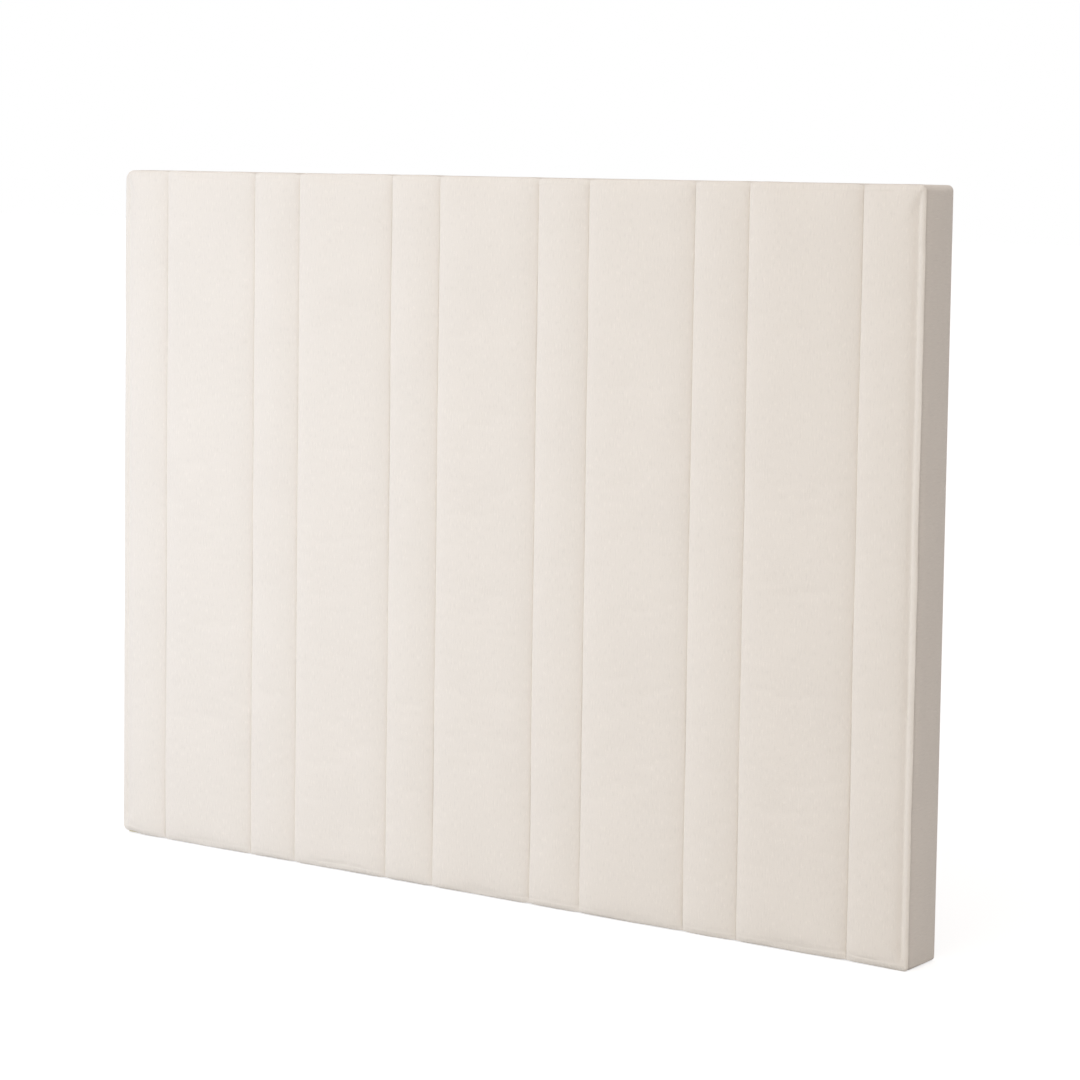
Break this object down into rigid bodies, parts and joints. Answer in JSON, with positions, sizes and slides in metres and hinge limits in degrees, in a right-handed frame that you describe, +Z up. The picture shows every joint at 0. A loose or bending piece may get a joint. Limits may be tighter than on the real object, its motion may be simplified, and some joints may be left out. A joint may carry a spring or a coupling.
{
  "type": "headboard",
  "caption": "Upholstered headboard with wide and narrow sewn vertical channels on a timber frame, standing on the floor.",
  "frame": {"origin": "on the floor, half way across the width and half way through the depth", "axes": "+X to the right as seen from the bed, +Y towards the wall, +Z up"},
  "size_m": [1.6, 0.1, 1.2],
  "materials": {
    "cover_cloth": "matte",
    "wadding": "matte",
    "foam": "matte",
    "pine": "matte",
    "plywood": "matte",
    "lining_cloth": "matte",
    "steel_wire": "satin",
    "zinc_steel": "satin"
  },
  "bodies": {
    "root": {"channel_01": "cover_cloth", "channel_02": "cover_cloth", "channel_03": "cover_cloth", "channel_04": "cover_cloth", "channel_05": "cover_cloth", "channel_06": "cover_cloth", "channel_07": "cover_cloth", "channel_08": "cover_cloth", "channel_09": "cover_cloth", "channel_10": "cover_cloth", "channel_11": "cover_cloth", "border_band": "cover_cloth", "bottom_band": "cover_cloth", "edge_padding_left": "wadding", "edge_padding_top": "wadding", "edge_padding_right": "wadding", "foam_slab": "foam", "front_board": "plywood", "left_stile": "pine", "right_stile": "pine", "top_rail": "pine", "bottom_rail": "pine", "left_post": "pine", "right_post": "pine", "cross_rail_left": "pine", "cross_rail_centre": "pine", "cross_rail_right": "pine", "corner_block_bottom_left": "pine", "corner_block_bottom_right": "pine", "corner_block_top_left": "pine", "corner_block_top_right": "pine", "cross_rail_dowels": "pine", "frame_screws": "zinc_steel", "bed_inserts": "zinc_steel", "board_nails": "steel_wire", "lining_staples": "steel_wire", "back_lining": "lining_cloth"}
  },
  "joints": []
}
